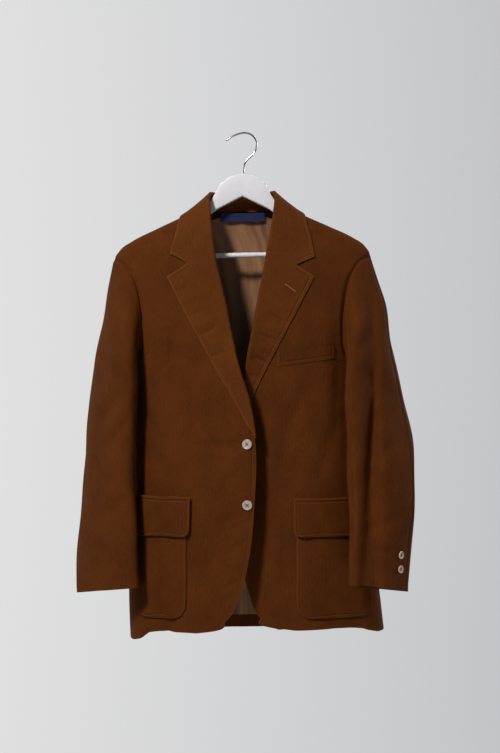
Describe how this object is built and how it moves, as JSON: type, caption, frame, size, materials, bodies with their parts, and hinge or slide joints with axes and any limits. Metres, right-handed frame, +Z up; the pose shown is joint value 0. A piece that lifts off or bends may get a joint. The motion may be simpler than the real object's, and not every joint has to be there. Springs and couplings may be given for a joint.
{
  "type": "corduroy jacket on hanger",
  "caption": "Tailored corduroy jacket with notched lapels and flapped patch pockets, hung unfastened on a flat wooden hanger with a wire hook.",
  "frame": {"origin": "where the inside top of the hanger's hook bears on its nail", "axes": "+Z up, the jacket's front faces -Y, +X towards the wearer's left side"},
  "size_m": [0.6191, 0.1787, 0.9261],
  "materials": {
    "corduroy": "fine-wale brown cotton corduroy with a short nap",
    "lining_satin": "taupe satin lining with a soft sheen",
    "label_weave": "plain navy woven label",
    "buttons": "pale turned resin",
    "hanger_paint": "satin white paint on wood",
    "hook_chrome": "bright plated wire"
  },
  "bodies": {
    "root": {"front_right": "corduroy", "front_left": "corduroy", "back_right": "corduroy", "back_left": "corduroy", "top_sleeve_right": "corduroy", "under_sleeve_right": "corduroy", "top_sleeve_left": "corduroy", "under_sleeve_left": "corduroy", "collar": "corduroy", "lapel_right": "corduroy", "lapel_left": "corduroy", "pocket_right": "corduroy", "pocket_left": "corduroy", "flap_right": "corduroy", "flap_left": "corduroy", "breast_welt": "corduroy", "back_lining": "lining_satin", "neck_label": "label_weave", "button_top": "buttons", "button_bottom": "buttons", "cuff_button_right_1": "buttons", "cuff_button_right_2": "buttons", "cuff_button_left_1": "buttons", "cuff_button_left_2": "buttons", "hanger_body": "hanger_paint", "hanger_bar": "hanger_paint", "hanger_hook": "hook_chrome"}
  },
  "joints": []
}
